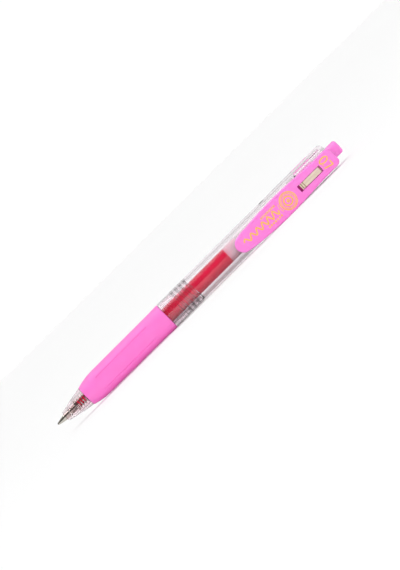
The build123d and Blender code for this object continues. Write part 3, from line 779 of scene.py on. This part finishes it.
def outwards(mesh, name):
    """The mesh with its faces turned outwards and its place in the frame."""
    bm = bmesh.new()
    bm.from_mesh(mesh)
    bmesh.ops.remove_doubles(bm, verts=bm.verts, dist=SAME_PLACE)
    bmesh.ops.recalc_face_normals(bm, faces=bm.faces)
    bm.transform(PEN_TO_FRAME)
    bm.to_mesh(mesh)
    bm.free()
    mesh.name = name
    return mesh


rolled_grip = grown("rubber_grip_sleeve", grip_tree(), {}, drawn_outline("grip_outline", GRIP_OUTLINE))
grip_mesh = outwards(rolled_grip, "rubber_grip_sleeve")
piece("rubber_grip_sleeve", grip_mesh, RUBBER, "barrel", "rubber_grip")

# ---- leaf spring ----

LEAF_HALF = 1.1
LEAF_THICK = 0.2
LEAF_TOP = 8.16
LEAF_BEND_R = 0.6
LEAF_ROOT = 4.8
LEAF_LEG = LEAF_REAR - LEAF_THICK / 2 - 0.01  # middle of the leg that goes down into the barrel
EDGE_ROUNDING = 0.04


def bent_strip(name, points, thick, half_width):
    """Strip of even thickness along (station, out) points."""
    bm = bmesh.new()
    rows = []
    for i, (station, out) in enumerate(points):
        before = Vector(points[max(i - 1, 0)])
        after = Vector(points[min(i + 1, len(points) - 1)])
        way = (after - before).normalized()
        normal = Vector((-way.y, way.x)) * thick / 2
        rows.append([
            bm.verts.new((station + normal.x * side, across, out + normal.y * side))
            for side, across in ((1, -half_width), (1, half_width), (-1, half_width), (-1, -half_width))
        ])
    for one, two in zip(rows, rows[1:]):
        for i in range(4):
            j = (i + 1) % 4
            bm.faces.new([one[i], one[j], two[j], two[i]])
    bm.faces.new(rows[0])
    bm.faces.new(rows[-1][::-1])
    edges = [edge for edge in bm.edges if abs(edge.verts[0].co.y - edge.verts[1].co.y) < SAME_PLACE]
    bmesh.ops.bevel(bm, geom=edges, offset=EDGE_ROUNDING, segments=2, affect="EDGES")
    return closed_mesh(name, bm)


# a flat end on the clip, a step up, a long flat stretch, and a leg bent down
leaf_points = [(119.92, 7.88), (120.36, 7.9), (120.5, 7.93), (121.2, 8.1), (121.4, 8.14), (121.6, 8.15)]
leaf_points += [(123.5, LEAF_TOP), (126.0, LEAF_TOP)]
leaf_points += arc((LEAF_LEG - LEAF_BEND_R, LEAF_TOP - LEAF_BEND_R), LEAF_BEND_R, 90, 0)
leaf_points += [(LEAF_LEG, 6.5), (LEAF_LEG, LEAF_ROOT)]
leaf = piece("clip_leaf_strip", bent_strip("clip_leaf_strip", leaf_points, LEAF_THICK, LEAF_HALF), STRIP)
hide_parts("clip_leaf_spring")
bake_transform(leaf)

# Painted shade: a thin dark magenta sheet under the front of the clip's window, where the clip is open and
# only shade shows
SHADE_SHEET_FRONT = 118.85  # let into the window's front wall
SHADE_SHEET_REAR = 121.2
SHADE_SHEET_LEVEL = 7.02
SHADE_SHEET_THICK = 0.12
SHADE_SHEET_HALF = 1.36
window_shade_sheet = [(SHADE_SHEET_FRONT, SHADE_SHEET_LEVEL), (SHADE_SHEET_REAR, SHADE_SHEET_LEVEL)]
shade_sheet_mesh = bent_strip("clip_window_floor", window_shade_sheet, SHADE_SHEET_THICK, SHADE_SHEET_HALF)
piece("clip_window_floor", shade_sheet_mesh, PAINTED_SHADE_PINK, "clip")

# ---- gold print on the clip: strokes laid on its face ----


def surface_print_tree():
    """Flat strokes laid on a face by dropping their points on it. A stroke's width is its points' radius."""
    tree, given = geometry_tree("surface_print", {
        "Face": ("NodeSocketObject", None),
        "Drop Height": ("NodeSocketFloat", 20.0),
        "Raise": ("NodeSocketFloat", 0.004),
        "Thickness Share": ("NodeSocketFloat", 0.09),
    })
    face = node(tree, "GeometryNodeObjectInfo", {"Object": given["Face"]})
    above = node(tree, "ShaderNodeCombineXYZ", {"Z": given["Drop Height"]})
    spot = node(tree, "ShaderNodeVectorMath", {
        0: node(tree, "GeometryNodeInputPosition").outputs[0], 1: above.outputs[0]}, operation="ADD")
    reach = node(tree, MATH, {0: given["Drop Height"], 1: 2.0}, operation="MULTIPLY")
    drop = node(tree, "GeometryNodeRaycast", {
        "Target Geometry": face.outputs["Geometry"], "Source Position": spot.outputs[0],
        "Ray Direction": (0.0, 0.0, -1.0), "Ray Length": reach.outputs[0]})
    lift = node(tree, "ShaderNodeCombineXYZ", {"Z": given["Raise"]})
    laid = node(tree, "GeometryNodeSetPosition", {
        "Geometry": given["Geometry"], "Position": drop.outputs["Hit Position"], "Offset": lift.outputs[0]})
    section = node(tree, "GeometryNodeCurvePrimitiveQuadrilateral", {
        "Width": 1.0, "Height": given["Thickness Share"]})
    strokes = node(tree, "GeometryNodeCurveToMesh", {
        "Curve": laid.outputs[0], "Profile Curve": section.outputs[0], "Fill Caps": True,
        "Scale": node(tree, "GeometryNodeInputRadius").outputs[0]})
    flat = node(tree, "GeometryNodeSetShadeSmooth", {"Geometry": strokes.outputs[0], "Shade Smooth": False})
    end_tree(tree, flat.outputs[0], GOLD)
    return tree


def ring(station, across, radius, steps, squeeze=1.0):
    """Points round a circle, or an oval squeezed across the pen."""
    turns = [2 * pi * i / steps for i in range(steps)]
    return [(station + radius * cos(turn), across + squeeze * radius * sin(turn)) for turn in turns]


def straight(start, end, steps=1):
    """Points evenly along a straight stroke."""
    return [tuple(Vector(start).lerp(Vector(end), i / steps)) for i in range(steps + 1)]


# each stroke is its points, its width and whether it closes on itself
strokes = []

# the ball's size, 0.7, its figures standing across the pen with their feet towards the tip
FIGURE_FOOT = 130.4
FIGURE_TOP = 133.7
FIGURE_STROKE = 0.5
POINT_STROKE = 0.4
nought = ring(132.1, 1.42, 1.7, 32, squeeze=0.52)
decimal_point = straight((FIGURE_FOOT + 0.2, 0.12), (FIGURE_FOOT + 0.6, 0.12))
seven = straight((FIGURE_TOP, -0.2), (FIGURE_TOP, -2.0), 5)
seven += straight((FIGURE_TOP, -2.0), (FIGURE_FOOT, -1.0), 8)[1:]
strokes.append((nought, FIGURE_STROKE, True))
strokes.append((decimal_point, POINT_STROKE, False))
strokes.append((seven, FIGURE_STROKE, False))

# rosette of plain rings, with short rays between the outer two
ROSETTE = 113.35
ROSETTE_RINGS = ((3.2, 64, 0.4), (1.6, 40, 0.55), (0.42, 16, 0.5))  # radius, steps and stroke
RAYS = 28
RAY_RADII = (2.3, 2.6, 2.9)
RAY_STROKE = 0.34
for radius, steps, width in ROSETTE_RINGS:
    strokes.append((ring(ROSETTE, 0.0, radius, steps), width, True))
for i in range(RAYS):
    turn = 2 * pi * i / RAYS
    strokes.append(([(ROSETTE + r * cos(turn), r * sin(turn)) for r in RAY_RADII], RAY_STROKE, False))

# thin arc in front of the rosette
ARC_R = 4.0
ARC_STROKE = 0.24
arc_turns = [radians(degrees) for degrees in range(-24, 25, 4)]
strokes.append(([(ROSETTE - ARC_R * cos(turn), ARC_R * sin(turn)) for turn in arc_turns], ARC_STROKE, False))

# wavy trial line, whose waves get closer and taller
TRIAL_FRONT = 92.0
TRIAL_LENGTH = 16.5
TRIAL_WAVES = 6
TRIAL_STEPS = 120
TRIAL_HEIGHT = 0.12
TRIAL_SWING = 0.85
TRIAL_GROWTH = 0.4  # of the swing, by the line's end
TRIAL_CLOSING = 0.93  # under 1, waves get closer
TRIAL_STROKE = 0.55
trial_line = []
for i in range(TRIAL_STEPS + 1):
    share = i / TRIAL_STEPS
    swing = TRIAL_SWING + TRIAL_GROWTH * share
    wave = swing * sin(2 * pi * TRIAL_WAVES * share)
    trial_line.append((TRIAL_FRONT + TRIAL_LENGTH * share ** TRIAL_CLOSING, TRIAL_HEIGHT + wave))
strokes.append((trial_line, TRIAL_STROKE, False))

# a row of dashes on each side of it: first station, across, spacing, dash, number and stroke
DASH_ROWS = ((101.9, 2.25, 0.78, 0.45, 9, 0.85), (102.0, -2.1, 0.98, 0.6, 7, 0.75))
for first, across, spacing, dash, count, width in DASH_ROWS:
    for i in range(count):
        start = first + spacing * i
        strokes.append((straight((start, across), (start + dash, across)), width, False))

pattern = bpy.data.curves.new("clip_print_strokes", "CURVE")
pattern.dimensions = "3D"
pattern.twist_mode = "Z_UP"
for points, width, closed in strokes:
    line = pattern.splines.new("POLY")
    line.points.add(len(points) - 1)
    line.use_cyclic_u = closed
    for spot, (station, across) in zip(line.points, points):
        spot.co = (station, across, 0, 1)
        spot.radius = width
clip_face = bpy.data.objects.new("clip_face", frame["nodes"]["clip_arm"].data.copy())
clip_face.data.transform(PEN_TO_FRAME.inverted())
bpy.context.scene.collection.objects.link(clip_face)
laid_print = grown("clip_gold_print", surface_print_tree(), {"Face": clip_face}, pattern)
print_mesh = outwards(laid_print, "clip_gold_print")
bpy.data.objects.remove(clip_face)
piece("clip_gold_print", print_mesh, GOLD, "clip")

# ---- studio: a white table, pale all round at its horizon, darker above the camera, bright overhead ----

TABLE_HALF = 30.0  # metres, so that its edge lies at the horizon
TABLE_GAP = 0.02 * MM
HORIZON = 1.02  # brightness of the room, by direction
DIM_FRONT = 0.14
PALE_BACK = 0.7
OVERHEAD = 3.4
FRONT_EDGE = (-0.25, 0.1)  # along Y, from dim to pale
BACK_HORIZON = (0.1, 0.26)  # sine of the elevation at which the horizon's white ends
FRONT_HORIZON = (0.02, 0.09)
OVERHEAD_EDGE = (0.945, 0.97)
WINDOW_SPREAD = radians(50)
WINDOW_LEAN = -0.15  # a little to the left


def white_table():
    """Table top that reaches past the horizon."""
    mesh = bpy.data.meshes.new("table_top")
    corners = [(-1, -1), (1, -1), (1, 1), (-1, 1)]
    level = cad_box[0].z - TABLE_GAP
    mesh.from_pydata([(x * TABLE_HALF, y * TABLE_HALF, level) for x, y in corners], [], [(0, 1, 2, 3)])
    mesh.materials.append(TABLE)
    made = bpy.data.objects.new("table_top", mesh)
    bpy.context.scene.collection.objects.link(made)


def hang_lamp(light, place, way):
    """Puts a lamp at a place, shining along a direction. It lights surfaces without showing in them."""
    made = bpy.data.objects.new(light.name, light)
    made.location = place
    made.rotation_euler = way.to_track_quat("-Z", "Y").to_euler()
    made.visible_glossy = False
    made.visible_transmission = False
    bpy.context.scene.collection.objects.link(made)


def front_fill(place, width, height, watts):
    """Soft panel in front of the pen, low, facing its middle."""
    light = bpy.data.lights.new("front_fill", "AREA")
    light.shape = "RECTANGLE"
    light.size = width
    light.size_y = height
    light.energy = watts
    hang_lamp(light, place, MIDDLE - place)


def high_window(elevation, strength):
    """Wide soft daylight from high in front."""
    light = bpy.data.lights.new("high_window", "SUN")
    light.energy = strength
    light.angle = WINDOW_SPREAD
    hang_lamp(light, Vector(), -Vector((WINDOW_LEAN, -cos(elevation), sin(elevation))))


def studio_room():
    """Brightness of the room by direction: white near the horizon, pale behind the pen, dim above the
    camera, and a round overhead light."""
    world = bpy.data.worlds.new("studio_room")
    world.use_nodes = True
    tree = world.node_tree
    tree.nodes.clear()
    way = node(tree, "ShaderNodeSeparateXYZ", {0: node(tree, "ShaderNodeTexCoord").outputs["Generated"]})
    behind = node(tree, "ShaderNodeMapRange", {
        "Value": way.outputs["Y"], "From Min": FRONT_EDGE[0], "From Max": FRONT_EDGE[1],
    }, interpolation_type="SMOOTHSTEP")
    back_wall = node(tree, "ShaderNodeMapRange", {
        "Value": way.outputs["Z"], "From Min": BACK_HORIZON[0], "From Max": BACK_HORIZON[1],
        "To Min": HORIZON, "To Max": PALE_BACK,
    }, interpolation_type="SMOOTHSTEP")
    front_wall = node(tree, "ShaderNodeMapRange", {
        "Value": way.outputs["Z"], "From Min": FRONT_HORIZON[0], "From Max": FRONT_HORIZON[1],
        "To Min": HORIZON, "To Max": DIM_FRONT,
    }, interpolation_type="SMOOTHSTEP")
    walls = node(tree, "ShaderNodeMix", {
        "Factor": behind.outputs[0], "A": front_wall.outputs[0], "B": back_wall.outputs[0]})
    overhead = node(tree, "ShaderNodeMapRange", {
        "Value": way.outputs["Z"], "From Min": OVERHEAD_EDGE[0], "From Max": OVERHEAD_EDGE[1],
    }, interpolation_type="SMOOTHSTEP")
    lit = node(tree, "ShaderNodeMix", {"Factor": overhead.outputs[0], "A": walls.outputs[0], "B": OVERHEAD})
    background = node(tree, "ShaderNodeBackground", {"Color": linear("#FFFFFF"), "Strength": lit.outputs[0]})
    node(tree, "ShaderNodeOutputWorld", {"Surface": background.outputs[0]})
    bpy.context.scene.world = world


white_table()
studio_room()
front_fill(Vector((0.2, -1.9, 0.1)), width=1.2, height=0.8, watts=18.0)
high_window(radians(62.0), strength=1.1)

# ---- camera: square to the pen, rolled so that the pen stands on the diagonal, tip at the lower left ----

FRAME_HEIGHT = 201.8 * MM  # what the view's long side takes in
LENS = 200.0
SENSOR = 36.0
CLIP_END = 20.0  # metres
ELEVATION = radians(1.4)
ROLL = radians(44.86)
OFF_CENTRE = (0.64 * MM, -0.02 * MM)  # aim, right of and above the pen's middle


def portrait_camera():
    """Camera whose distance makes the view take in FRAME_HEIGHT at the pen."""
    data = bpy.data.cameras.new("portrait")
    data.lens = LENS
    data.sensor_width = SENSOR
    data.clip_end = CLIP_END
    back = Vector((0, -cos(ELEVATION), sin(ELEVATION)))
    level_up = Vector((0, sin(ELEVATION), cos(ELEVATION)))
    right = ALONG * cos(ROLL) - level_up * sin(ROLL)
    up = ALONG * sin(ROLL) + level_up * cos(ROLL)
    aim = MIDDLE + right * OFF_CENTRE[0] + up * OFF_CENTRE[1]
    made = bpy.data.objects.new("portrait", data)
    turn = Matrix((right, up, back)).transposed().to_4x4()
    made.matrix_world = Matrix.Translation(aim + back * FRAME_HEIGHT * LENS / SENSOR) @ turn
    bpy.context.scene.collection.objects.link(made)
    bpy.context.scene.camera = made


portrait_camera()
bpy.context.scene.view_settings.view_transform = "Standard"
